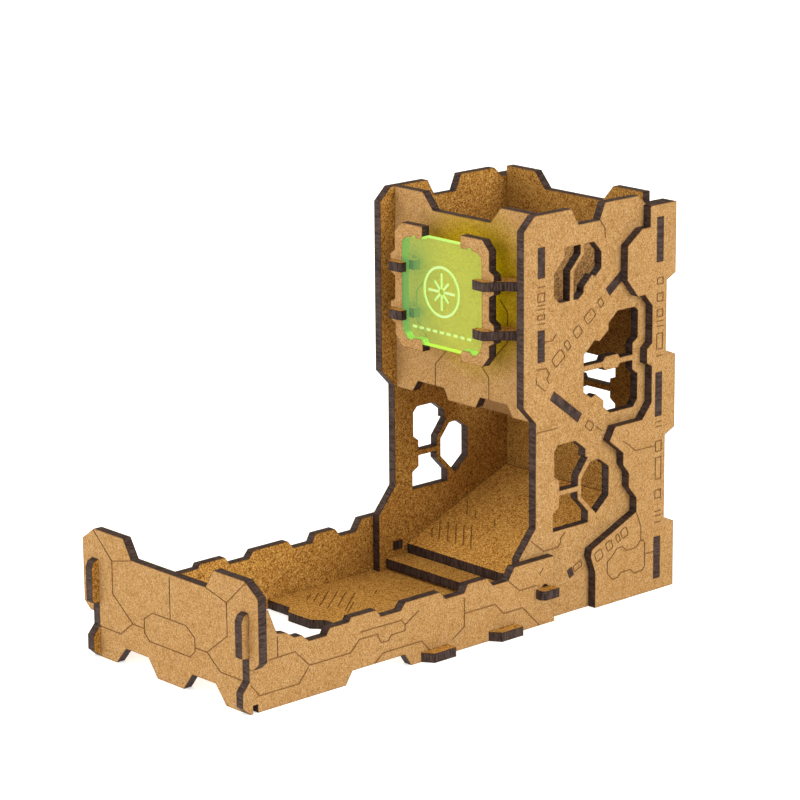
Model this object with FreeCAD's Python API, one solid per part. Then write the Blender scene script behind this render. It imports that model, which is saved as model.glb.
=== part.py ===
import FreeCAD, Part
import os
import math

# A dice tower made of press-fitted, laser-cut boards.
# X is across, +Y is to the back, +Z is up, and everything is in millimetres.
# Every board is an outline cut from one sheet, then slotted into its neighbours.
# Outlines measure Y from the front edge of the tower's sides; DEPTH_SHIFT then moves
# the whole model so that its origin is the centre of its footprint, on the table.

BOARD = 3.0               # thickness of every board and of the emblem plate
WELL = 31.0               # half the width of the well that the dice fall through
PLAY = 0.2                # the width of a laser cut, left beside boards that stand in the well
INSIDE = WELL - PLAY      # half the width of those boards, apart from their tabs
SIDE = WELL + BOARD       # outer face of the two main sides
SKIN = SIDE + BOARD       # outer face of the cladding and of the tray's sides
TRAY_FRONT = -113.0       # front face of the tray's front panel
TRAY_TIP = -115.6         # front tips of the tray's sides
FRONT_WALL = 6.0          # front face of the tower's front panel
BACK_WALL = 55.3          # front face of the back panel
BACK_EDGE = 64.4          # rear edge of the cladding
TOWER_TOP = 129.6         # top of the crenels
REAR_TOP = 126.4          # top of the sides behind the back panel
NOTCH_FLOOR = 124.3       # floor of the notches between the crenels
DEPTH_SHIFT = -(TRAY_TIP + BACK_EDGE) / 2

STEP_TOP = 7.0                    # the ramp's front edge rests on the step at this height
RAMP_ANGLE = 22.2                 # degrees above level, rising to the back
RAMP_START = (10.2, STEP_TOP + BOARD / math.cos(math.radians(RAMP_ANGLE)))   # top front edge
MIDDLE_START = (12.25, 72.0)      # centre line of the middle baffle, top of its side tab
MIDDLE_ANGLE = -37.5
UPPER_START = (36.5, 100.9)       # centre line of the upper baffle, foot of its side tab
UPPER_ANGLE = 36.0
MIDDLE_TAB = 15.4                 # lengths of the baffles' side tabs, along the slope
UPPER_TAB = 14.0
RAMP_TAB = 2.2
RAMP_TAB_AT = 10.7                # distance up the ramp from its front edge to its side tab

EMBLEM_FRONT = -2.6               # front face of the emblem plate and its brackets
ARM_LEVELS = (90.1, 105.6)        # undersides of the lower and the upper emblem arms
THROAT = 20.2                     # how far out the arms' throats reach
ARM_TAB = (23.6, 29.4)            # the arms' tabs in the front panel, across

BACK_TABS = ((3.8, 17.8), (57.8, 72.2), (108.0, 122.4))       # heights of the back panel's tabs
FRONT_TABS = ((83.5, 93.5), (109.9, 119.5))                   # heights of the front panel's tabs
FLOOR_TABS = ((-45.9, -34.7), (-17.7, -6.3))                  # the floor's side tabs, along Y
FLOOR_TAB_TIP = 40.5
STEP_TAB = (3.6, 8.6)                                         # the step's side tabs, along Y
KEY_LEVEL = 9.0
KEY_SPAN = (4.1, 8.2)
KEY_HEAD = (2.7, 9.5)
KEY_TIP = 40.4
SIDE_FOOT = -1.9                  # front edge of the main sides' feet

LINE_WIDTH = 0.26                 # the laser's engraved lines
LINE_DEPTH = 0.2
MARK_WIDTH = 0.8                  # the lines of the mark on the emblem plate
MARK_CENTRE = 101.6
MARK_RADIUS = 8.2

# The edge of the emblem plate's right half, top to bottom (X, Z).
# The brackets' inner edges follow the same line.
PLATE_EDGE = (
    (8.7, 117.9),
    (9.4, 116.9),
    (11.6, 116.9),
    (12.0, 117.6),
    (13.2, 117.6),
    (14.0, 116.9),
    (16.3, 116.5),
    (17.9, 115.4),
    (18.2, 110.0),
    (18.2, 89.0),
    (17.9, 86.6),
    (15.9, 84.1),
    (14.0, 83.8),
    (12.7, 84.7),
    (9.5, 84.7),
    (8.7, 83.3),
)


def board(points, lowest, axis, thickness=BOARD):
    """A flat board: an outline in the plane across the axis, from lowest upwards along it.

    The points are (Y, Z) across X, (X, Z) across Y and (X, Y) across Z.
    """
    corners = []
    for first, second in points:
        if axis == "X":
            corners.append(FreeCAD.Vector(lowest, first, second))
        elif axis == "Y":
            corners.append(FreeCAD.Vector(first, lowest, second))
        else:
            corners.append(FreeCAD.Vector(first, second, lowest))
    corners.append(corners[0])
    face = Part.Face(Part.makePolygon(corners))
    along = {
        "X": FreeCAD.Vector(thickness, 0, 0),
        "Y": FreeCAD.Vector(0, thickness, 0),
        "Z": FreeCAD.Vector(0, 0, thickness),
    }
    return face.extrude(along[axis])


def block(x_span, y_span, z_span):
    """A rectangular block between two values on each axis."""
    size = [span[1] - span[0] for span in (x_span, y_span, z_span)]
    corner = FreeCAD.Vector(x_span[0], y_span[0], z_span[0])
    return Part.makeBox(size[0], size[1], size[2], corner)


def mirrored(shape):
    """The same shape on the other side of the centre plane."""
    return shape.mirror(FreeCAD.Vector(0, 0, 0), FreeCAD.Vector(1, 0, 0))


def both_sides(shape):
    """A shape joined to its own mirror image."""
    return shape.fuse(mirrored(shape))


def symmetric(right_half):
    """Close an outline whose right half runs from the centre line to the centre line."""
    left_half = [(-across, other) for across, other in reversed(right_half)]
    return list(right_half) + left_half


def drop_repeats(points):
    """The same outline without points that repeat the one before them."""
    kept = []
    for point in points:
        if not kept or math.dist(point, kept[-1]) > 0.001:
            kept.append(point)
    if math.dist(kept[0], kept[-1]) < 0.001:
        kept.pop()
    return kept


def slope(start, angle, half_width, first, last):
    """A tilted board across the well, whose centre line passes through start (Y, Z).

    first and last are its ends, measured along the slope from start.
    """
    turn = math.radians(angle)
    along = (math.cos(turn), math.sin(turn))
    normal = (-math.sin(turn), math.cos(turn))
    corners = []
    for distance, side in ((first, -0.5), (last, -0.5), (last, 0.5), (first, 0.5)):
        y = start[0] + along[0] * distance + normal[0] * side * BOARD
        z = start[1] + along[1] * distance + normal[1] * side * BOARD
        corners.append((y, z))
    return board(corners, -half_width, "X", 2 * half_width)


def rear_edge():
    """The stepped rear edge that the main side and the cladding share, from the foot upwards."""
    return [
        (BACK_EDGE, 0.0),
        (BACK_EDGE, 21.6),
        (60.0, 23.6),
        (60.0, 51.0),
        (64.3, 53.0),
        (64.3, 77.0),
        (60.0, 78.8),
        (60.0, 101.6),
        (64.0, 103.6),
        (64.0, REAR_TOP),
    ]


def main_side():
    """The right main side, from the front foot round the crenels, with its windows."""
    outline = [(SIDE_FOOT, 0.0)]
    outline += rear_edge()
    outline += [
        (53.4, REAR_TOP),
        (50.0, TOWER_TOP),
        (35.0, TOWER_TOP),
        (32.7, NOTCH_FLOOR),
        (23.4, NOTCH_FLOOR),
        (20.4, TOWER_TOP),
        (4.6, TOWER_TOP),
        (0.0, 125.3),
        (0.0, 70.0),
        (5.3, 64.4),
        (5.3, 30.6),
        (SIDE_FOOT, 22.0),
    ]
    side = board(outline, WELL, "X")
    for window in side_windows():
        side = side.cut(board(window, WELL, "X"))
    return side


def side_windows():
    """The outlines of the openings in the right main side."""
    upper_front = (
        (24.4, 117.9),
        (24.4, 115.0),
        (19.8, 110.2),
        (19.8, 100.9),
        (15.3, 100.9),
        (13.0, 103.2),
        (13.0, 110.0),
        (17.6, 115.0),
        (17.6, 117.9),
    )
    upper_rear = (
        (26.0, 117.9),
        (30.3, 117.9),
        (33.5, 114.4),
        (33.5, 109.1),
        (30.8, 106.9),
        (29.5, 107.7),
        (25.8, 104.3),
        (25.8, 102.6),
        (23.6, 100.9),
        (21.5, 100.9),
        (21.5, 109.9),
        (26.0, 114.7),
    )
    big_upper = (
        (26.1, 79.0),
        (26.1, 82.5),
        (30.9, 86.5),
        (33.0, 85.8),
        (37.0, 88.8),
        (37.0, 90.9),
        (41.0, 94.3),
        (48.6, 94.3),
        (50.1, 93.0),
        (50.1, 84.3),
        (47.8, 82.7),
        (47.8, 79.0),
        (42.1, 79.0),
        (41.3, 80.4),
        (35.5, 80.4),
        (34.6, 79.0),
    )
    big_lower = (
        (26.1, 77.2),
        (34.6, 77.2),
        (35.5, 76.0),
        (41.3, 76.0),
        (42.1, 77.2),
        (47.8, 77.2),
        (47.8, 74.1),
        (50.1, 72.5),
        (50.1, 64.2),
        (48.3, 61.9),
        (37.9, 61.9),
        (35.0, 64.2),
        (35.0, 66.4),
        (31.5, 69.0),
        (29.4, 68.3),
        (26.1, 70.6),
    )
    lower_top = (
        (13.4, 53.9),
        (15.1, 55.6),
        (22.5, 55.6),
        (27.0, 52.2),
        (27.0, 49.6),
        (28.1, 49.2),
        (23.8, 43.7),
        (23.8, 40.7),
        (15.6, 40.7),
        (15.6, 44.1),
        (13.4, 45.8),
    )
    lower_rear = (
        (25.4, 42.8),
        (29.3, 47.5),
        (33.0, 47.7),
        (37.5, 44.5),
        (37.5, 34.9),
        (31.9, 30.2),
        (25.4, 36.8),
    )
    lower_foot = (
        (15.6, 39.0),
        (23.6, 39.0),
        (23.6, 36.4),
        (28.3, 31.5),
        (28.3, 27.9),
        (12.9, 27.9),
        (12.9, 33.8),
        (15.6, 35.3),
    )
    return (upper_front, upper_rear, big_upper, big_lower, lower_top, lower_rear, lower_foot)


def rear_cladding():
    """The right outer skin behind the windows, which holds the back panel's tabs."""
    outline = [(28.8, 0.0)]
    outline += rear_edge()
    outline += [
        (52.3, REAR_TOP),
        (52.3, 119.7),
        (48.7, 119.7),
        (42.2, 115.1),
        (42.2, 104.2),
        (47.0, 98.3),
        (50.2, 98.3),
        (53.6, 94.3),
        (53.6, 82.3),
        (51.3, 80.6),
        (51.3, 76.0),
        (53.6, 74.7),
        (53.6, 62.8),
        (49.4, 57.9),
        (37.3, 57.9),
        (34.8, 53.6),
        (41.0, 48.7),
        (41.0, 44.7),
        (43.6, 41.5),
        (43.6, 36.9),
        (47.2, 32.7),
        (47.2, 28.0),
        (27.2, 19.6),
        (26.7, 17.3),
        (28.8, 11.8),
    ]
    return board(outline, SIDE, "X")


def tray_side():
    """The right side of the tray, from its front tips to its end on the tower's foot."""
    outline = (
        (TRAY_TIP, 2.4),
        (TRAY_TIP + 2.7, 0.0),
        (TRAY_FRONT + 1.1, 0.0),
        (TRAY_FRONT + 1.1, 2.6),
        (TRAY_FRONT + BOARD, 2.6),
        (TRAY_FRONT + BOARD, 0.0),
        (-76.3, 0.0),
        (-73.5, 4.0),
        (-52.6, 4.0),
        (-50.0, 0.0),
        (10.5, 0.0),
        (10.5, 21.4),
        (-6.8, 21.4),
        (-9.3, 17.6),
        (-16.0, 17.6),
        (-18.3, 20.4),
        (-26.5, 20.4),
        (-28.0, 17.8),
        (-35.8, 17.8),
        (-38.0, 20.4),
        (-52.2, 20.4),
        (-54.1, 18.2),
        (-62.1, 18.2),
        (-63.8, 20.7),
        (-74.0, 20.7),
        (-74.7, 19.4),
        (-82.3, 19.4),
        (-83.6, 17.3),
        (-90.3, 17.3),
        (-93.0, 19.7),
        (-95.9, 19.7),
        (-98.6, 21.7),
        (-102.4, 22.4),
        (-105.6, 30.2),
        (-106.8, 31.0),
        (TRAY_FRONT, 31.0),
        (TRAY_TIP + 0.9, 30.4),
        (TRAY_TIP, 28.6),
        (TRAY_TIP, 17.6),
        (TRAY_FRONT, 17.2),
        (TRAY_FRONT, 10.0),
        (TRAY_TIP, 7.0),
    )
    return board(outline, SIDE, "X")


def tray_front_panel():
    """The panel across the tray's front, which drops over the ends of the tray's sides."""
    right_half = (
        (0.0, 34.3),
        (17.7, 34.3),
        (21.4, 40.3),
        (35.7, 40.3),
        (41.5, 36.2),
        (41.5, 16.4),
        (38.6, 14.0),
        (SKIN, 14.0),
        (SKIN, 31.0),
        (SIDE, 31.0),
        (SIDE, 0.0),
        (26.2, 0.0),
        (21.4, 5.6),
        (10.5, 5.6),
        (6.2, 0.0),
        (0.0, 0.0),
    )
    outline = drop_repeats(symmetric(right_half))
    return board(outline, TRAY_FRONT, "Y")


def tray_floor():
    """The floor of the tray's rear half, with two tongues in front and a tab in each side slot."""
    right_half = [
        (0.0, -46.7),
        (6.0, -46.7),
        (9.9, -50.0),
        (20.3, -50.0),
        (23.5, -46.7),
        (SIDE, -46.7),
    ]
    for first, last in FLOOR_TABS:
        right_half.append((SIDE, first))
        right_half.append((SKIN, first))
        right_half.append((FLOOR_TAB_TIP, first + 2.4))
        right_half.append((FLOOR_TAB_TIP, last))
        right_half.append((SIDE, last))
    right_half.append((SIDE, SIDE_FOOT))
    right_half.append((WELL, SIDE_FOOT))
    right_half.append((WELL, 7.0))
    right_half.append((0.0, 7.0))
    return board(drop_repeats(symmetric(right_half)), 0.0, "Z")


def crenel_half():
    """The right half of the top edge that the front and back panels share, from the centre."""
    return [(0.0, NOTCH_FLOOR), (13.0, NOTCH_FLOOR), (17.7, TOWER_TOP)]


def tower_front_panel():
    """The front of the tower, which hangs between the sides above the mouth of the ramp."""
    right_half = crenel_half()
    right_half.append((INSIDE, TOWER_TOP))
    for low, high in reversed(FRONT_TABS):
        right_half += [(INSIDE, high), (SIDE, high), (SIDE, low), (INSIDE, low)]
    right_half += [(INSIDE, 64.0), (23.0, 64.0), (20.5, 67.7), (8.3, 67.7), (6.3, 64.0), (0.0, 64.0)]
    return board(drop_repeats(symmetric(right_half)), FRONT_WALL, "Y")


def back_panel():
    """The back of the tower, between the sides, with tabs through them and their cladding."""
    right_half = crenel_half()
    right_half.append((INSIDE, TOWER_TOP))
    for low, high in reversed(BACK_TABS):
        right_half += [(INSIDE, high), (SKIN, high), (SKIN, low), (INSIDE, low)]
    right_half += [(INSIDE, 0.0), (21.4, 0.0), (18.0, 4.0), (0.0, 4.0)]
    panel = board(drop_repeats(symmetric(right_half)), BACK_WALL, "Y")
    for window in back_windows():
        panel = panel.cut(board(drop_repeats(symmetric(window)), BACK_WALL, "Y"))
    return panel


def back_windows():
    """The right halves of the two openings in the back panel, above and below its bar."""
    upper = (
        (0.0, 73.3),
        (12.6, 73.3),
        (15.4, 71.2),
        (19.3, 71.2),
        (19.3, 67.6),
        (17.0, 66.7),
        (17.0, 64.3),
        (4.2, 64.3),
        (3.4, 65.6),
        (0.0, 65.6),
    )
    lower = (
        (0.0, 61.1),
        (3.4, 61.1),
        (4.2, 62.4),
        (17.0, 62.4),
        (17.0, 60.2),
        (19.3, 58.6),
        (19.3, 55.6),
        (16.9, 53.2),
        (0.0, 53.2),
    )
    return (upper, lower)


def bottom_ramp():
    """The ramp that turns the dice out into the tray, with a small tab in each side."""
    turn = math.radians(RAMP_ANGLE)
    centre = (RAMP_START[0] + math.sin(turn) * BOARD / 2, RAMP_START[1] - math.cos(turn) * BOARD / 2)
    ramp = slope(centre, RAMP_ANGLE, INSIDE, -2.0, 60.0)
    well = block((-SIDE, SIDE), (RAMP_START[0], BACK_WALL - 2 * PLAY), (STEP_TOP, 60.0))
    tab = slope(centre, RAMP_ANGLE, SIDE, RAMP_TAB_AT - RAMP_TAB / 2, RAMP_TAB_AT + RAMP_TAB / 2)
    return ramp.common(well).fuse(tab)


def middle_baffle():
    """The baffle that slopes down from the front panel, with a long tab in each side."""
    well = block((-INSIDE, INSIDE), (FRONT_WALL + BOARD, 33.5), (40.0, 90.0))
    baffle = slope(MIDDLE_START, MIDDLE_ANGLE, WELL, -10.0, 40.0).common(well)
    return baffle.fuse(slope(MIDDLE_START, MIDDLE_ANGLE, SIDE, 0.0, MIDDLE_TAB))


def upper_baffle():
    """The baffle that slopes down from the back panel, with a long tab in each side."""
    well = block((-INSIDE, INSIDE), (28.5, BACK_WALL), (85.0, 125.0))
    baffle = slope(UPPER_START, UPPER_ANGLE, WELL, -20.0, 40.0).common(well)
    return baffle.fuse(slope(UPPER_START, UPPER_ANGLE, SIDE, 0.0, UPPER_TAB))


def front_step():
    """The flat board under the ramp's front edge, with a tab in each main side."""
    right_half = (
        (0.0, 0.9),
        (INSIDE, 0.9),
        (INSIDE, STEP_TAB[0]),
        (SIDE, STEP_TAB[0]),
        (SIDE, STEP_TAB[1]),
        (INSIDE, STEP_TAB[1]),
        (INSIDE, 14.0),
        (0.0, 14.0),
    )
    return board(drop_repeats(symmetric(right_half)), STEP_TOP - BOARD, "Z")


def side_key():
    """The right key: a small headed peg that locks the tray's side to the tower's."""
    outline = (
        (WELL, KEY_SPAN[0]),
        (SKIN, KEY_SPAN[0]),
        (SKIN, KEY_HEAD[0]),
        (KEY_TIP - 1.2, KEY_HEAD[0]),
        (KEY_TIP, KEY_HEAD[0] + 1.1),
        (KEY_TIP, KEY_HEAD[1]),
        (SKIN, KEY_HEAD[1]),
        (SKIN, KEY_SPAN[1]),
        (WELL, KEY_SPAN[1]),
    )
    return board(outline, KEY_LEVEL, "Z")


def emblem_plate():
    """The clear plate on the tower's front, held between its two brackets."""
    return board(drop_repeats(symmetric(list(PLATE_EDGE))), EMBLEM_FRONT, "Y")


def emblem_bracket():
    """The right bracket, which hugs the plate's edge and is notched for both arms."""
    outline = [(8.7, 121.0), (18.5, 121.0), (20.9, 118.5), (21.5, 117.9)]
    for level, top, bottom in ((ARM_LEVELS[1], 110.6, 104.6), (ARM_LEVELS[0], 94.9, 89.2)):
        outline += [(21.5, top + 1.1), (23.6, top), (23.6, level + BOARD), (THROAT, level + BOARD)]
        outline += [(THROAT, level), (23.6, level), (23.6, bottom), (21.5, bottom - 1.1)]
    outline += [(21.5, 84.6), (18.5, 81.0), (8.7, 81.0)]
    outline += reversed(PLATE_EDGE)
    return board(drop_repeats(outline), EMBLEM_FRONT, "Y")


def emblem_arm(level):
    """A right arm: a flat clamp from the front panel round the bracket and the plate's edge."""
    plate_back = EMBLEM_FRONT + BOARD
    outline = (
        (ARM_TAB[0], FRONT_WALL + BOARD),
        (ARM_TAB[0], FRONT_WALL),
        (22.0, FRONT_WALL),
        (19.0, 3.0),
        (16.0, 3.0),
        (16.0, plate_back),
        (THROAT, plate_back),
        (THROAT, EMBLEM_FRONT),
        (16.2, EMBLEM_FRONT),
        (16.2, -4.7),
        (18.0, -5.1),
        (21.5, -5.2),
        (25.3, 0.4),
        (30.6, 5.0),
        (30.6, FRONT_WALL),
        (ARM_TAB[1], FRONT_WALL),
        (ARM_TAB[1], FRONT_WALL + BOARD),
    )
    return board(outline, level, "Z")


def engrave(shape, lines, level, axis, width=LINE_WIDTH):
    """Cut shallow lines into a board. level is the lower side of the grooves along the axis."""
    tools = []
    for line in lines:
        for start, end in zip(line, line[1:]):
            length = math.dist(start, end)
            along = ((end[0] - start[0]) / length, (end[1] - start[1]) / length)
            corners = []
            for forward, aside in ((-1, -1), (1, -1), (1, 1), (-1, 1)):
                base = end if forward > 0 else start
                reach = forward * width / 2
                side = aside * width / 2
                first = base[0] + along[0] * reach - along[1] * side
                second = base[1] + along[1] * reach + along[0] * side
                corners.append((first, second))
            tools.append(board(corners, level, axis, LINE_DEPTH))
    return shape.cut(tools)


def both_halves(lines):
    """Lines drawn on the right half, and again on the left."""
    return list(lines) + [[(-across, other) for across, other in line] for line in lines]


def cell(centre, length, height, angle):
    """A closed outline like a rounded brick, tilted by an angle in degrees."""
    turn = math.radians(angle)
    corner = 0.15 * min(length, height)
    points = []
    for across, up in ((1, 1), (-1, 1), (-1, -1), (1, -1)):
        near = (across * length / 2, up * (height / 2 - corner))
        far = (across * (length / 2 - corner), up * height / 2)
        points += [near, far] if across == up else [far, near]
    turned = []
    for first, second in points:
        along = centre[0] + first * math.cos(turn) - second * math.sin(turn)
        up = centre[1] + first * math.sin(turn) + second * math.cos(turn)
        turned.append((along, up))
    return turned + [turned[0]]


def ladder(span, bricks, rungs):
    """A column of engraved bricks and rungs between two values of Y."""
    first, last = span
    lines = []
    for low, high in bricks:
        lines.append([(first, low), (last, low), (last, high), (first, high), (first, low)])
    for rung in rungs:
        lines.append([(first, rung), (last, rung)])
    return lines


def side_panel_lines():
    """The lines on the outer face of the main sides: bricks along the boards inside, and panels."""
    lines = [
        cell((14.9, 83.5), 5.0, 3.4, UPPER_ANGLE),
        cell((18.9, 87.0), 1.8, 3.0, UPPER_ANGLE),
        cell((23.3, 90.5), 3.2, 3.2, UPPER_ANGLE),
        cell((28.6, 94.5), 4.4, 3.2, UPPER_ANGLE),
        cell((33.4, 98.1), 1.9, 2.6, UPPER_ANGLE),
        [(FRONT_WALL + BOARD, 89.6), (12.5, 89.6), (14.0, 91.4)],
        [(5.6, 81.4), (9.7, 81.2), (11.0, 79.2), (10.0, 77.7), (10.8, 76.3)],
        [(5.4, 78.8), (5.4, 77.0), (9.1, 74.2)],
        cell((28.8, 59.4), 3.3, 2.4, MIDDLE_ANGLE),
        [(31.6, 58.6), (34.2, 56.8)],
        [(5.9, 61.3), (14.6, 61.2)],
        [(32.9, NOTCH_FLOOR), (35.0, 121.6), (35.2, 118.6)],
        [(3.3, 26.9), (8.8, 22.5), (15.1, 22.5), (16.3, 23.9), (16.3, 25.2), (18.3, 26.7)],
        cell((23.8, 14.4), 3.6, 2.0, RAMP_ANGLE),
    ]
    return lines + ladder((6.0, 8.9), ((97.0, 98.4), (102.6, 105.2)), (95.6, 100.2, 101.4, 107.2))


def cladding_lines():
    """The lines on the cladding: a hull over the ramp, bricks along it, and a ladder behind."""
    hull = [
        (34.2, 14.2),
        (36.2, 15.4),
        (38.4, 17.7),
        (41.0, 17.8),
        (42.6, 16.1),
        (47.3, 16.1),
        (49.0, 17.9),
        (50.3, 17.9),
        (51.2, 16.8),
        (51.2, 8.9),
        (50.1, 7.8),
        (46.2, 7.8),
        (44.7, 9.3),
        (40.3, 9.3),
        (38.9, 8.0),
        (36.6, 7.8),
        (34.2, 10.2),
        (34.2, 14.2),
    ]
    lines = [
        hull,
        [(51.2, 13.1), (BACK_WALL, 13.0)],
        [(47.3, 27.6), (49.4, 22.6), (49.4, 17.9)],
        [(41.0, 52.4), (43.4, 50.9), (46.4, 48.4), (55.6, 48.3)],
        cell((30.3, 17.2), 3.2, 3.2, RAMP_ANGLE),
        cell((35.0, 19.4), 2.6, 3.0, RAMP_ANGLE),
        cell((38.9, 21.0), 1.4, 2.6, RAMP_ANGLE),
        cell((41.8, 22.2), 2.8, 3.0, RAMP_ANGLE),
    ]
    span = (55.7, 58.3)
    lines += ladder(span, ((30.6, 33.4), (37.0, 44.2), (46.2, 49.6)), (22.6, 24.8, 26.3, 54.4, 56.0))
    lines += ladder(span, ((79.8, 84.9), (90.3, 92.6), (95.3, 97.9), (100.9, 102.9)), (77.6, 87.2, 88.9))
    return lines


def tray_side_lines():
    """The panel lines along the outside of the tray."""
    return [
        [(-105.4, 15.1), (-95.8, 15.3), (-90.2, 9.8), (-74.2, 9.8), (-70.7, 13.1), (-63.6, 13.1),
         (-62.0, 10.0), (-59.1, 10.0), (-58.0, 11.5), (-52.4, 11.6), (-52.4, 13.4), (-53.9, 15.2),
         (-70.2, 15.3)],
        [(-52.4, 13.4), (-49.8, 14.9), (-46.8, 16.6)],
        [(-102.3, 21.2), (-102.3, 15.2)],
        [(-112.6, 9.0), (-109.4, 5.1), (-94.2, 5.1), (-90.7, 9.3)],
        [(-64.9, 4.0), (-61.2, 6.7), (-45.7, 6.7), (-42.6, 3.2)],
        [(-28.0, 16.2), (-28.0, 11.9), (-27.2, 11.4), (-15.1, 11.3), (-11.4, 7.5), (-3.3, 7.5),
         (4.0, 0.2)],
        [(-28.0, 11.4), (-28.0, 7.2), (-32.9, 4.2)],
        [(-9.3, 17.4), (-4.6, 13.4), (2.4, 13.4)],
        [(4.3, 16.8), (5.7, 18.4)],
    ]


def tray_front_lines():
    """The octagon and the panel lines on the front of the tray."""
    octagon = [(0.0, 20.2), (7.8, 20.2), (12.0, 17.4), (12.0, 13.0), (9.6, 10.9), (0.0, 10.9)]
    return both_halves([
        octagon,
        [(36.2, 40.0), (27.2, 31.9), (27.2, 21.6), (17.7, 14.4), (12.0, 14.4)],
        [(27.2, 31.9), (17.9, 34.2)],
        [(33.8, 9.8), (23.6, 9.8), (17.7, 14.4)],
    ]) + [[(0.6, 20.6), (0.6, 33.2)]]


def tower_front_lines():
    """The lines below and beside the emblem."""
    return both_halves([
        [(12.3, 67.9), (12.3, 74.8), (7.1, 80.0)],
        [(13.5, 80.4), (20.7, 87.6), (20.7, 97.4), (17.5, 100.6)],
    ])


def hatches(starts, run):
    """Parallel lines of different lengths, each from its start (across, along, length)."""
    lines = []
    for across, along, length in starts:
        lines.append([(across, along), (across + run[0] * length, along + run[1] * length)])
    return lines


def floor_lines():
    """Slanting hatches on the left of the tray's floor, with a short stray tick."""
    starts = (
        (-29.0, -33.1, 6.2),
        (-28.0, -30.6, 9.0),
        (-27.1, -27.5, 14.6),
        (-24.8, -25.7, 16.4),
        (-22.8, -23.6, 14.8),
        (-20.1, -22.2, 17.6),
        (-13.5, -28.5, 11.0),
        (-16.9, -15.9, 3.2),
    )
    return hatches(starts, (0.62, -0.78))


def ramp_lines():
    """Two groups of slanting hatches on the ramp (across, up the slope)."""
    starts = (
        (-25.0, 6.0, 5.0),
        (-21.5, 6.0, 11.0),
        (-18.0, 6.5, 11.0),
        (-14.0, 6.3, 11.8),
        (-10.5, 6.5, 12.0),
        (-6.5, 6.0, 13.0),
        (-22.0, 20.0, 8.6),
        (-18.0, 20.0, 4.3),
        (-8.0, 19.0, 3.2),
    )
    return hatches(starts, (-0.68, 0.73))


def engraved_ramp(ramp):
    """Lay the ramp's hatches out flat, tilt them on to its top face and cut them."""
    blank = block((-WELL, WELL), (-2.0, 60.0), (-BOARD, 0.0))
    flat = blank.cut(engrave(blank, ramp_lines(), -LINE_DEPTH, "Z"))
    flat.rotate(FreeCAD.Vector(0, 0, 0), FreeCAD.Vector(1, 0, 0), RAMP_ANGLE)
    flat.translate(FreeCAD.Vector(0, RAMP_START[0], RAMP_START[1]))
    return ramp.cut(flat)


def marked_plate(plate):
    """Cut the plate's plain mark: a ring round an eight-pointed star, over a row of dashes."""
    front = FreeCAD.Vector(0, EMBLEM_FRONT, MARK_CENTRE)
    outer = Part.makeCylinder(MARK_RADIUS, LINE_DEPTH, front, FreeCAD.Vector(0, 1, 0))
    inner = Part.makeCylinder(MARK_RADIUS - MARK_WIDTH, LINE_DEPTH, front, FreeCAD.Vector(0, 1, 0))
    lines = []
    for number in range(8):
        turn = math.radians(45 * number)
        reach = 5.6 if number % 2 == 0 else 4.0
        inside = (1.4 * math.cos(turn), MARK_CENTRE + 1.4 * math.sin(turn))
        outside = (reach * math.cos(turn), MARK_CENTRE + reach * math.sin(turn))
        lines.append([inside, outside])
    for number in range(-4, 5):
        lines.append([(3.1 * number - 0.5, 88.6), (3.1 * number + 0.5, 88.6)])
    return engrave(plate.cut(outer.cut(inner)), lines, EMBLEM_FRONT, "Y", MARK_WIDTH)


def pair(nodes, name, right):
    """Add a right-hand piece and its mirror image under two names."""
    nodes[name + "_right"] = right
    nodes[name + "_left"] = mirrored(right)


def build():
    """Every board, cut for the tabs of the boards that pass through it."""
    nodes = {}
    front = tower_front_panel()
    back = back_panel()
    ramp = bottom_ramp()
    middle = middle_baffle()
    upper = upper_baffle()
    floor = tray_floor()
    step = front_step()
    key = side_key()
    arms = [emblem_arm(level) for level in ARM_LEVELS]

    side = main_side()
    for guest in (front, back, ramp, middle, upper, step, key):
        side = side.cut(guest)
    side = engrave(side, side_panel_lines(), SIDE - LINE_DEPTH, "X")
    cladding = rear_cladding().cut(back)
    cladding = engrave(cladding, cladding_lines(), SKIN - LINE_DEPTH, "X")
    pair(nodes, "side_panel", side)
    pair(nodes, "rear_cladding", cladding)
    relief = Part.makeCylinder(1.4, BOARD, FreeCAD.Vector(SIDE, 6.4, 11.6), FreeCAD.Vector(1, 0, 0))
    tray = tray_side().cut(floor).cut(key).cut(relief)
    tray = engrave(tray, tray_side_lines(), SKIN - LINE_DEPTH, "X")
    pair(nodes, "tray_side", tray)
    for arm in arms:
        front = front.cut(both_sides(arm))
    nodes["tower_front_panel"] = engrave(front, tower_front_lines(), FRONT_WALL, "Y")
    nodes["back_panel"] = back
    nodes["tray_front_panel"] = engrave(tray_front_panel(), tray_front_lines(), TRAY_FRONT, "Y")
    nodes["tray_floor"] = engrave(floor, floor_lines(), BOARD - LINE_DEPTH, "Z")
    nodes["front_step"] = step
    nodes["bottom_ramp"] = engraved_ramp(ramp)
    nodes["middle_baffle"] = middle
    nodes["upper_baffle"] = upper
    nodes["emblem_plate"] = marked_plate(emblem_plate())
    pair(nodes, "emblem_bracket", emblem_bracket())
    pair(nodes, "lower_emblem_arm", arms[0])
    pair(nodes, "upper_emblem_arm", arms[1])
    pair(nodes, "side_key", key)
    return nodes


os.makedirs("parts", exist_ok=True)
for node, shape in sorted(build().items()):
    shape = shape.removeSplitter()
    shape.translate(FreeCAD.Vector(0, DEPTH_SHIFT, 0))
    solids = shape.Solids
    box = shape.BoundBox
    print(node, len(solids), round(shape.Volume, 1), shape.isValid(), end=" ")
    print([round(value, 2) for value in (box.XMin, box.XMax, box.YMin, box.YMax, box.ZMin, box.ZMax)])
    solids[0].exportStep("parts/" + node + ".step")
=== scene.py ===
import math

import bpy
from mathutils import Matrix, Vector


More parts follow.
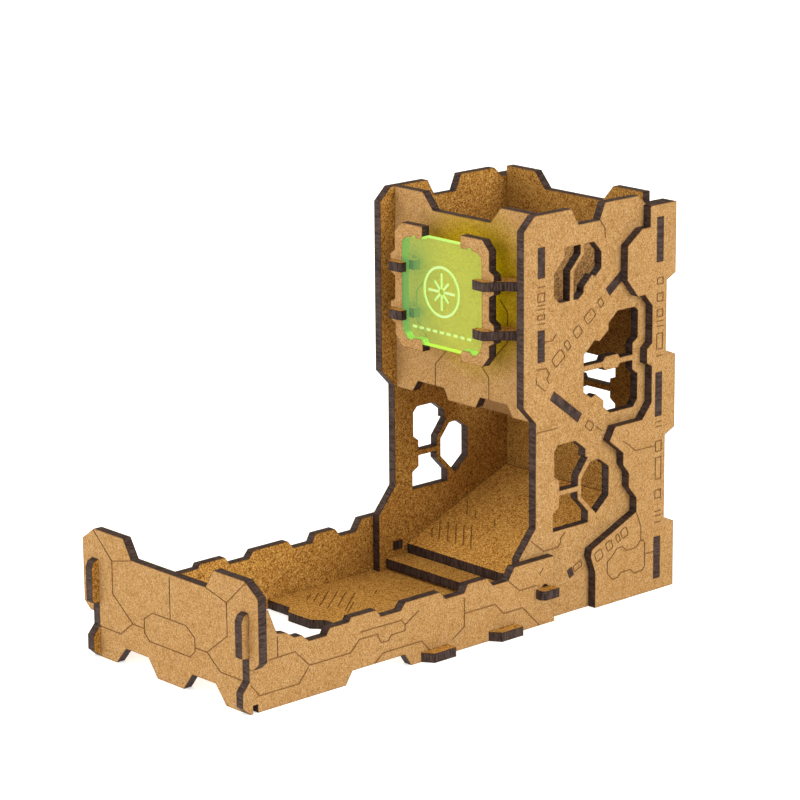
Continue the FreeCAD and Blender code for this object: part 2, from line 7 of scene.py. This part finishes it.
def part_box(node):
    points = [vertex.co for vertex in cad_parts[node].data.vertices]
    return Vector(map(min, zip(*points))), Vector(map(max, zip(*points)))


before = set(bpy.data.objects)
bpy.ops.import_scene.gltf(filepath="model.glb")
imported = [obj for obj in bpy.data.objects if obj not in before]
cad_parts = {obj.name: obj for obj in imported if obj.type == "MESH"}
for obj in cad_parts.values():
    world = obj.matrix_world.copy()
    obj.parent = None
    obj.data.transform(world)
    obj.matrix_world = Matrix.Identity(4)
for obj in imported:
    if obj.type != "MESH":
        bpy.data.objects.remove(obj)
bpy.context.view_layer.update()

# Blender looks for the press-fitted dice tower. Everything is in metres.
# Every board gets its own fibreboard material, because the pattern depends on which way
# the board lies. The emblem plate gets a clear fluorescent one. The pieces keep the meshes
# that they come with, and the only mesh added is the floor.

MM = 0.001
BOARD = 3.0 * MM              # thickness of every board
X = (1, 0, 0)
Y = (0, 1, 0)
Z = (0, 0, 1)


# ---------------------------------------------------------------- camera, floor and light

CAMERA_AZIMUTH = math.radians(47.954)
CAMERA_ELEVATION = math.radians(14.868)
CAMERA_ROLL = math.radians(-0.485)
CAMERA_DISTANCE = 1.04344
CAMERA_ASIDE = 0.00336        # how far the camera stands beside a line to the origin
CAMERA_ABOVE = 0.06878        # and above it
CAMERA_LENS = 149.42

SENSOR_WIDTH = 36

FLOOR_HALF = 6.0
FLOOR_COLOUR = (0.8, 0.8, 0.8, 1)
FLOOR_ROUGHNESS = 0.7
FLOOR_GLOW = 0.5              # keeps the floor white where the object shades it
ROOM_COLOUR = (1.0, 0.78, 0.48, 1)
ROOM_STRENGTH = 0.42
WHITE = (1, 1, 1, 1)

# Each lamp's name, the direction that it shines from, its strength and its spread in degrees.
LAMPS = (
    ("key", (-0.70, -0.8, 0.18), 1.4, 35),
    ("side", (1.0, 0.25, 0.22), 2.25, 30),
    ("fill", (0.1, -1.0, 0.10), 0.95, 25),
    ("top", (0.0, -0.35, 1.0), 2.6, 120),
)


def make_camera():
    """A long lens at the studio's viewing angle, with no shift and no depth of field."""
    a, e = CAMERA_AZIMUTH, CAMERA_ELEVATION
    right = Vector((math.cos(a), math.sin(a), 0))
    back = Vector((math.sin(a) * math.cos(e), -math.cos(a) * math.cos(e), math.sin(e)))
    up = back.cross(right)
    turned_right = math.cos(CAMERA_ROLL) * right + math.sin(CAMERA_ROLL) * up
    turned_up = math.cos(CAMERA_ROLL) * up - math.sin(CAMERA_ROLL) * right
    place = CAMERA_DISTANCE * back + CAMERA_ASIDE * turned_right + CAMERA_ABOVE * turned_up
    data = bpy.data.cameras.new("camera")
    data.lens = CAMERA_LENS
    data.sensor_width = SENSOR_WIDTH
    data.clip_start = 0.05
    data.clip_end = 20
    camera = bpy.data.objects.new("camera", data)
    bpy.context.scene.collection.objects.link(camera)
    turn = Matrix((turned_right, turned_up, back)).transposed()
    camera.matrix_world = Matrix.Translation(place) @ turn.to_4x4()
    bpy.context.scene.camera = camera


def make_floor():
    """A wide pale floor that fades into the studio's white."""
    mesh = bpy.data.meshes.new("floor")
    half = FLOOR_HALF
    corners = [(-half, -half, 0), (half, -half, 0), (half, half, 0), (-half, half, 0)]
    mesh.from_pydata(corners, [], [(0, 1, 2, 3)])
    floor = bpy.data.objects.new("floor", mesh)
    bpy.context.scene.collection.objects.link(floor)
    material = bpy.data.materials.new("floor")
    material.use_nodes = True
    shader = material.node_tree.nodes["Principled BSDF"]
    shader.inputs["Base Color"].default_value = FLOOR_COLOUR
    shader.inputs["Emission Color"].default_value = WHITE
    shader.inputs["Emission Strength"].default_value = FLOOR_GLOW
    shader.inputs["Roughness"].default_value = FLOOR_ROUGHNESS
    mesh.materials.append(material)


def soft_sun(name, source, strength, spread):
    """A distant soft lamp that shines from a direction, with its spread in degrees."""
    data = bpy.data.lights.new(name, "SUN")
    data.energy = strength
    data.angle = math.radians(spread)
    lamp = bpy.data.objects.new(name, data)
    bpy.context.scene.collection.objects.link(lamp)
    lamp.rotation_euler = Vector(source).to_track_quat("Z", "Y").to_euler()


def make_room():
    """White where the camera sees it, and a weak warm light on everything else."""
    world = bpy.data.worlds.new("studio")
    world.use_nodes = True
    nodes = world.node_tree.nodes
    links = world.node_tree.links
    warm = nodes["Background"]
    warm.inputs["Color"].default_value = ROOM_COLOUR
    warm.inputs["Strength"].default_value = ROOM_STRENGTH
    white = nodes.new("ShaderNodeBackground")
    white.inputs["Color"].default_value = WHITE
    path = nodes.new("ShaderNodeLightPath")
    seen = nodes.new("ShaderNodeMixShader")
    links.new(path.outputs["Is Camera Ray"], seen.inputs[0])
    links.new(warm.outputs[0], seen.inputs[1])
    links.new(white.outputs[0], seen.inputs[2])
    links.new(seen.outputs[0], nodes["World Output"].inputs["Surface"])
    bpy.context.scene.world = world


def make_light():
    """A low lamp on each side of the camera, a fill between them and a wide one overhead."""
    for name, source, strength, spread in LAMPS:
        soft_sun(name, source, strength, spread)


# ---------------------------------------------------------------- node helpers

# A pair of limits says where a mask starts and where it is full.
THREAD_SLOPE = (0.06, 0.015)
THREAD_GAPS = (0.42, 0.50)
EDGE_OPENNESS = (0.85, 0.45)


class Tree:
    """A material's node tree, with short calls for the nodes that it needs."""

    def __init__(self, name):
        self.material = bpy.data.materials.new(name)
        self.material.use_nodes = True
        self.nodes = self.material.node_tree.nodes
        self.links = self.material.node_tree.links
        self.shader = self.nodes["Principled BSDF"]
        self.coords = self.nodes.new("ShaderNodeTexCoord")

    def feed(self, socket, value):
        """Links a socket to another, or sets its value."""
        if isinstance(value, bpy.types.NodeSocket):
            self.links.new(value, socket)
        elif value is not None:
            socket.default_value = value

    def math(self, operation, first, second=None, clamp=False):
        """One step of arithmetic on numbers."""
        node = self.nodes.new("ShaderNodeMath")
        node.operation = operation
        node.use_clamp = clamp
        self.feed(node.inputs[0], first)
        self.feed(node.inputs[1], second)
        return node.outputs[0]

    def dot(self, first, second):
        """How far one vector reaches along another."""
        node = self.nodes.new("ShaderNodeVectorMath")
        node.operation = "DOT_PRODUCT"
        self.feed(node.inputs[0], first)
        self.feed(node.inputs[1], second)
        return node.outputs["Value"]

    def scaled(self, vector, scale):
        """A place stretched by a factor on each axis."""
        node = self.nodes.new("ShaderNodeMapping")
        self.feed(node.inputs["Vector"], vector)
        node.inputs["Scale"].default_value = scale
        return node.outputs[0]

    def turned(self, vector, angles):
        """A place turned about the origin."""
        node = self.nodes.new("ShaderNodeMapping")
        self.feed(node.inputs["Vector"], vector)
        node.inputs["Rotation"].default_value = angles
        return node.outputs[0]

    def noise(self, vector, scale, detail=3.0, roughness=0.55, twist=0.0):
        """Cloudy noise from 0 to 1. scale is in clouds per metre."""
        node = self.nodes.new("ShaderNodeTexNoise")
        self.feed(node.inputs["Vector"], vector)
        node.inputs["Scale"].default_value = scale
        node.inputs["Detail"].default_value = detail
        node.inputs["Roughness"].default_value = roughness
        node.inputs["Distortion"].default_value = twist
        return node.outputs[0]

    def fibres(self, vector, scale):
        """Short curled threads, 1 on a thread and 0 between them."""
        hills = self.noise(vector, scale, 1.0, 0.5, 1.0)
        slope = self.math("ABSOLUTE", self.math("SUBTRACT", hills, 0.5))
        threads = self.between(slope, *THREAD_SLOPE)
        breaks = self.between(self.noise(vector, scale * 0.8, 1.0), *THREAD_GAPS)
        return self.math("MULTIPLY", threads, breaks)

    def wave(self, vector, scale, twist):
        """Wavy bands across X."""
        node = self.nodes.new("ShaderNodeTexWave")
        self.feed(node.inputs["Vector"], vector)
        node.inputs["Scale"].default_value = scale
        node.inputs["Distortion"].default_value = twist
        node.inputs["Detail Scale"].default_value = SCREEN_DETAIL
        return node.outputs["Fac"]

    def between(self, value, low, high):
        """0 at low, 1 at high and clamped outside."""
        node = self.nodes.new("ShaderNodeMapRange")
        self.feed(node.inputs["Value"], value)
        node.inputs["From Min"].default_value = low
        node.inputs["From Max"].default_value = high
        return node.outputs[0]

    def mix(self, factor, first, second, kind="MIX"):
        """Two colours mixed, or the first one tinted by the second with kind MULTIPLY."""
        node = self.nodes.new("ShaderNodeMix")
        node.data_type = "RGBA"
        node.blend_type = kind
        # Inputs 6 and 7 and output 2 are this node's colour sockets.
        self.feed(node.inputs["Factor"], factor)
        self.feed(node.inputs[6], first)
        self.feed(node.inputs[7], second)
        return node.outputs[2]

    def blend(self, factor, first, second):
        """One number or the other, as factor goes from 0 to 1."""
        node = self.nodes.new("ShaderNodeMix")
        self.feed(node.inputs[0], factor)
        self.feed(node.inputs[2], first)
        self.feed(node.inputs[3], second)
        return node.outputs[0]

    def ramp(self, value, stops):
        """A colour for each number, from stops of a number and a colour."""
        node = self.nodes.new("ShaderNodeValToRGB")
        self.feed(node.inputs[0], value)
        elements = node.color_ramp.elements
        elements[0].position, elements[0].color = stops[0][0], (*stops[0][1], 1)
        elements[1].position, elements[1].color = stops[-1][0], (*stops[-1][1], 1)
        for place, colour in stops[1:-1]:
            elements.new(place).color = (*colour, 1)
        return node.outputs[0]

    def near_edges(self, reach):
        """1 along the edges of the piece itself, fading to 0 at a distance inside them."""
        node = self.nodes.new("ShaderNodeAmbientOcclusion")
        node.inside = True
        node.only_local = True
        node.samples = 6
        node.inputs["Distance"].default_value = reach
        return self.between(node.outputs["AO"], *EDGE_OPENNESS)

    def bump(self, height, strength, distance):
        """Small hills and hollows in the surface."""
        node = self.nodes.new("ShaderNodeBump")
        self.feed(node.inputs["Height"], height)
        node.inputs["Strength"].default_value = strength
        node.inputs["Distance"].default_value = distance
        self.links.new(node.outputs[0], self.shader.inputs["Normal"])


# ---------------------------------------------------------------- the fibreboard

# Scales are in features per metre, colours are linear, and a tint multiplies what it lies on.
GRAIN_SCALE = 2400
FIBRE_SCALE = 1050
SPECK_SCALE = 1500
MOTTLE_SCALE = 320
CLOUD_SCALE = 45
CHAR_SCALE = 1500
CHAR_SQUASH = 0.2                # the char's places are squeezed by this, so it is streaky
SMOOTH_AMOUNT = 0.45             # how strongly fibres and specks show on the smooth face
FACE_STOPS = (
    (0.25, (0.190, 0.098, 0.033)),
    (0.42, (0.310, 0.177, 0.066)),
    (0.56, (0.382, 0.235, 0.098)),
    (0.75, (0.470, 0.316, 0.150)),
)
BACK_STOPS = (
    (0.25, (0.14, 0.056, 0.009)),
    (0.42, (0.33, 0.163, 0.034)),
    (0.56, (0.50, 0.280, 0.070)),
    (0.75, (0.71, 0.460, 0.146)),
)
CHAR_STOPS = (
    (0.35, (0.020, 0.012, 0.010)),
    (0.65, (0.062, 0.041, 0.035)),
)
FIBRE_TINT = (0.42, 0.32, 0.24, 1)
SPECK_TINT = (0.60, 0.48, 0.38, 1)
CLOUD_TINT = (0.96, 0.94, 0.90, 1)
MOTTLE_TINT = (0.94, 0.89, 0.79, 1)
SCORCH_TINT = (0.42, 0.30, 0.24, 1)
PAINTED_CAST_TINT = (0.84, 0.92, 0.10, 1)
SCREEN_COLOUR = (0.13, 0.065, 0.026, 1)
LINE_COLOUR = (0.29, 0.138, 0.044, 1)
SCORCH_REACH = 0.5 * MM          # how far the brown border reaches in from a cut
GROOVE_START = 0.04 * MM         # an engraved line's colour fades in between these depths
GROOVE_FULL = 0.12 * MM
FACE_ROUGHNESS = 0.68
CHAR_ROUGHNESS = 0.48
SPECULAR = 0.06
BUMP_STRENGTH = 0.3
BUMP_DEPTH = 0.10 * MM

# Masks' limits. The first two are of how squarely a face looks along the board's normal.
CUT_TURN = (0.8, 0.5)
BACK_TURN = (0.5, 0.8)
SPECK_LIMITS = (0.60, 0.70)
CLOUD_LIMITS = (0.35, 0.65)
MOTTLE_LIMITS = (0.40, 0.65)

# The press's wire screen: two sets of scratches, turned this many degrees from X.
SCREEN_TURNS = (40, -35)
SCREEN_SCALE = 330
SCREEN_TWIST = 6.0
SCREEN_DETAIL = 1.5
SCREEN_HEIGHT = 3.0              # how deep the scratches are, beside the grain
PATCH_SCALE = 400                # which of the two sets shows in a place
PATCH_LIMITS = (0.45, 0.55)
SCRATCH_LIMITS = (0.55, 0.90)
BREAK_SCALE = 700                # where the scratches are broken off
BREAK_LIMITS = (0.40, 0.60)

# Painted light: the plate's yellow light, painted on the front panel, placed from the plate's
# middle.
CAST_ASIDE = 7 * MM
CAST_ABOVE = 2 * MM
CAST_LIMITS = (31 * MM, 19 * MM)

UPWARD = 0.3                     # a normal that rises more than this is an upper face's

# Painted light and shade on the coarse back, on the boards where it isn't 1: the backs that
# look up are lighter, and the back panel's inner back is darker.
PAINTED_BACK_LIGHT = {
    "bottom_ramp": 1.25,
    "tray_floor": 1.12,
    "front_step": 1.12,
    "back_panel": 0.82,
    "upper_baffle": 1.25,
}
SCREENED = "upper_baffle"        # the board whose screen-pressed back looks up


def board_material(name, normal, low, inward, painted_light_tone, screened):
    """Pressed fibreboard with scorched cuts and engraved lines, with light and shade painted
    on some boards.

    normal is the direction through the board, and low is the distance of its lower face
    from the origin along it. inward is 1 where the coarser back of the sheet looks along
    the normal and -1 where it looks against it, and painted_light_tone is the painted light
    or shade that multiplies that back. screened adds the press's wire pattern.
    """
    tree = Tree("fibreboard_" + name)
    place = tree.coords.outputs["Object"]
    across = tree.dot(tree.coords.outputs["Normal"], normal)
    cut = tree.between(tree.math("ABSOLUTE", across), *CUT_TURN)
    depth = tree.math("SUBTRACT", tree.dot(place, normal), low)
    coarse = tree.between(tree.math("MULTIPLY", across, inward), *BACK_TURN)

    grain = tree.noise(place, GRAIN_SCALE, 1.5, 0.6)
    amount = tree.blend(coarse, SMOOTH_AMOUNT, 1.0)
    fibres = tree.math("MULTIPLY", tree.fibres(place, FIBRE_SCALE), amount)
    specks = tree.between(tree.noise(place, SPECK_SCALE, 1.0, 0.5, 0.8), *SPECK_LIMITS)
    specks = tree.math("MULTIPLY", specks, amount)
    cloud = tree.noise(place, CLOUD_SCALE, 2.0, 0.5)
    mottle = tree.noise(place, MOTTLE_SCALE, 2.0, 0.6)

    back_stops = FACE_STOPS if screened else BACK_STOPS
    # The coarse back is multiplied by its painted light or shade.
    back = tree.mix(1.0, tree.ramp(grain, back_stops), (painted_light_tone, painted_light_tone, painted_light_tone, 1), "MULTIPLY")
    face = tree.mix(coarse, tree.ramp(grain, FACE_STOPS), back)
    face = tree.mix(fibres, face, FIBRE_TINT, "MULTIPLY")
    face = tree.mix(specks, face, SPECK_TINT, "MULTIPLY")
    face = tree.mix(tree.between(cloud, *CLOUD_LIMITS), face, CLOUD_TINT, "MULTIPLY")
    face = tree.mix(tree.between(mottle, *MOTTLE_LIMITS), face, MOTTLE_TINT, "MULTIPLY")
    # The front panel gets the plate's yellow light painted on.
    if name == "tower_front_panel":
        face = tree.mix(painted_plate_cast(tree, place), face, PAINTED_CAST_TINT, "MULTIPLY")
    height = tree.math("SUBTRACT", grain, fibres)
    if screened:
        screen = tree.math("MULTIPLY", screen_back(tree, place), coarse)
        face = tree.mix(screen, face, SCREEN_COLOUR)
        height = tree.math("ADD", height, tree.math("MULTIPLY", screen, SCREEN_HEIGHT))

    middle = tree.math("ABSOLUTE", tree.math("SUBTRACT", depth, BOARD / 2))
    engraved = tree.between(middle, BOARD / 2 - GROOVE_START, BOARD / 2 - GROOVE_FULL)
    # The char's streaks are drawn out along the axes that the normal mostly follows.
    squash = [1.0 if abs(part) < 0.5 else CHAR_SQUASH for part in normal]
    streak = tree.noise(tree.scaled(place, squash), CHAR_SCALE, 2.0, 0.6)
    char = tree.ramp(streak, CHAR_STOPS)
    colour = tree.mix(engraved, face, LINE_COLOUR)
    colour = tree.mix(cut, colour, char)
    colour = tree.mix(tree.near_edges(SCORCH_REACH), colour, SCORCH_TINT, "MULTIPLY")
    tree.links.new(colour, tree.shader.inputs["Base Color"])
    tree.feed(tree.shader.inputs["Roughness"], tree.blend(cut, FACE_ROUGHNESS, CHAR_ROUGHNESS))
    tree.shader.inputs["Specular IOR Level"].default_value = SPECULAR
    tree.bump(height, BUMP_STRENGTH, BUMP_DEPTH)
    return tree.material


def painted_plate_cast(tree, place):
    """1 where the emblem plate's yellow light is painted on the board behind it, to its right.
    """
    low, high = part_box("emblem_plate")
    middle = (low + high) / 2
    node = tree.nodes.new("ShaderNodeVectorMath")
    node.operation = "DISTANCE"
    tree.feed(node.inputs[0], place)
    tree.feed(node.inputs[1], (middle.x + CAST_ASIDE, high.y, middle.z + CAST_ABOVE))
    return tree.between(node.outputs["Value"], *CAST_LIMITS)


def screen_back(tree, place):
    """Short crossed scratches, as the press's wire screen leaves on the back of the sheet."""
    one_way, other_way = [
        tree.wave(tree.turned(place, (0, 0, math.radians(turn))), SCREEN_SCALE, SCREEN_TWIST)
        for turn in SCREEN_TURNS
    ]
    patches = tree.between(tree.noise(place, PATCH_SCALE, 1.0), *PATCH_LIMITS)
    crossed = tree.blend(patches, one_way, other_way)
    breaks = tree.between(tree.noise(place, BREAK_SCALE, 1.0), *BREAK_LIMITS)
    return tree.math("MULTIPLY", tree.between(crossed, *SCRATCH_LIMITS), breaks)


def board_faces():
    """Each board's normal, its lower face's distance from the origin, and its inward side."""
    faces = {}
    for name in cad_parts:
        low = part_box(name)[0]
        if name in ("side_panel_left", "rear_cladding_left", "tray_side_left"):
            faces[name] = (X, low.x, 1)
        elif name in ("side_panel_right", "rear_cladding_right", "tray_side_right"):
            faces[name] = (X, low.x, -1)
        elif name in ("tower_front_panel", "tray_front_panel",
                      "emblem_bracket_left", "emblem_bracket_right"):
            faces[name] = (Y, low.y, 1)
        elif name == "back_panel":
            faces[name] = (Y, low.y, -1)
        elif name in ("bottom_ramp", "middle_baffle", "upper_baffle"):
            faces[name] = (*sloping_face(name), 1)
        elif name != "emblem_plate":
            faces[name] = (Z, low.z, 1)
    return faces


def sloping_face(name):
    """The largest upward face of a tilted board gives its normal and its lower side."""
    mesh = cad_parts[name].data
    upward = [face for face in mesh.polygons if face.normal.z > UPWARD]
    largest = max(upward, key=lambda face: face.area)
    normal = largest.normal
    top = normal.dot(largest.center)
    return tuple(normal), top - BOARD


def dress(name, material):
    """Gives a node its one material."""
    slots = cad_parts[name].data.materials
    slots.clear()
    slots.append(material)


def paint_boards():
    """Every board in fibreboard."""
    for name, (normal, low, inward) in board_faces().items():
        painted_light_tone = PAINTED_BACK_LIGHT.get(name, 1.0)
        dress(name, board_material(name, normal, low, inward, painted_light_tone, name == SCREENED))


# ---------------------------------------------------------------- the emblem plate

PLATE_SOLIDITY = 0.12            # how much of the light each face stops
RIM_SOLIDITY = 0.75
MARK_SOLIDITY = 0.8
PLATE_STAIN = (0.97, 0.98, 0.14, 1)
PLATE_BODY = (0.25, 0.42, 0.12, 1)
PLATE_HAZE = (0.30, 0.46, 0.13, 1)
# The rim's lighter colour and its glow are painted light along the cut edges.
PLATE_RIM = (0.35, 0.70, 0.16, 1)
PLATE_MARK = (0.40, 0.57, 0.26, 1)
PLATE_GLOW = (0.90, 1.10, 0.46, 1)
PLATE_DIM_GLOW = (0.60, 0.84, 0.36, 1)
# The glow colour of the painted shade on the plate's left.
PLATE_SHADED_GLOW = (0.24, 0.82, 0.48, 1)
PLATE_RIM_GLOW = (0.30, 0.72, 0.12, 1)
PLATE_MARK_GLOW = (0.10, 0.16, 0.06, 1)
PLATE_ROUGHNESS = 0.12
PLATE_IOR = 1.49
HAZE_SCALE = 90
GRIT_SCALE = 1000
HAZE_LIMITS = (0.8, 1.2)
RIM_TURN = (0.95, 0.75)          # how squarely a face looks along Y
MARK_TOP = (0.06 * MM, 0.14 * MM)        # depths behind the plate's front
MARK_FLOOR = (0.6 * MM, 0.4 * MM)
# Painted shade: the plate's left glows bluer between the first two places, and its left rim
# less between the next two.
PAINTED_SHADE_SPAN = (-6 * MM, -13 * MM)          # places along X
LEFT_RIM_SPAN = (-16.8 * MM, -17.6 * MM)
LEFT_RIM_SHADE = 0.6


def paint_plate():
    """Clear fluorescent acrylic that stains the light yellow, with painted glow on its body
    and cut edges.
    """
    tree = Tree("fluorescent_acrylic")
    place = tree.coords.outputs["Object"]
    across = tree.math("ABSOLUTE", tree.dot(tree.coords.outputs["Normal"], Y))
    cut = tree.between(across, *RIM_TURN)
    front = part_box("emblem_plate")[0].y
    depth = tree.math("SUBTRACT", tree.dot(place, Y), front)
    sunk = tree.between(depth, *MARK_TOP)
    mark = tree.math("MULTIPLY", sunk, tree.between(depth, *MARK_FLOOR))
    cloud = tree.noise(place, HAZE_SCALE, 3.0, 0.5)
    grit = tree.noise(place, GRIT_SCALE, 1.0, 0.5)
    haze = tree.between(tree.math("ADD", cloud, grit), *HAZE_LIMITS)

    # Painted shade: the plate's left glows bluer, and its left rim glows less.
    aside = tree.dot(place, X)
    painted_shade = tree.between(aside, *PAINTED_SHADE_SPAN)
    left_rim = tree.between(aside, *LEFT_RIM_SPAN)
    rim_shade = tree.math("MULTIPLY", left_rim, LEFT_RIM_SHADE)
    lit_rim = tree.math("SUBTRACT", cut, rim_shade, True)

    body = tree.mix(haze, PLATE_BODY, PLATE_HAZE)
    body = tree.mix(cut, body, PLATE_RIM)
    body = tree.mix(mark, body, PLATE_MARK)
    glow = tree.mix(haze, PLATE_DIM_GLOW, PLATE_GLOW)
    glow = tree.mix(painted_shade, glow, PLATE_SHADED_GLOW)
    glow = tree.mix(lit_rim, glow, PLATE_RIM_GLOW)
    glow = tree.mix(mark, glow, PLATE_MARK_GLOW)
    # The emission is painted glow, for the acrylic's fluorescence.
    tree.links.new(body, tree.shader.inputs["Base Color"])
    tree.links.new(glow, tree.shader.inputs["Emission Color"])
    tree.shader.inputs["Emission Strength"].default_value = 1.0
    tree.shader.inputs["Roughness"].default_value = PLATE_ROUGHNESS
    tree.shader.inputs["IOR"].default_value = PLATE_IOR

    clear = tree.nodes.new("ShaderNodeBsdfTransparent")
    clear.inputs["Color"].default_value = PLATE_STAIN
    blend = tree.nodes.new("ShaderNodeMixShader")
    rim_share = tree.math("MULTIPLY", lit_rim, RIM_SOLIDITY)
    mark_share = tree.math("MULTIPLY", mark, MARK_SOLIDITY)
    solid = tree.math("MAXIMUM", rim_share, mark_share)
    tree.feed(blend.inputs["Fac"], tree.math("MAXIMUM", solid, PLATE_SOLIDITY))
    tree.links.new(clear.outputs[0], blend.inputs[1])
    tree.links.new(tree.shader.outputs[0], blend.inputs[2])
    tree.links.new(blend.outputs[0], tree.nodes["Material Output"].inputs["Surface"])
    dress("emblem_plate", tree.material)


# ---------------------------------------------------------------- the scene

bpy.context.scene.view_settings.view_transform = "Standard"
make_camera()
make_floor()
make_room()
make_light()
paint_boards()
paint_plate()
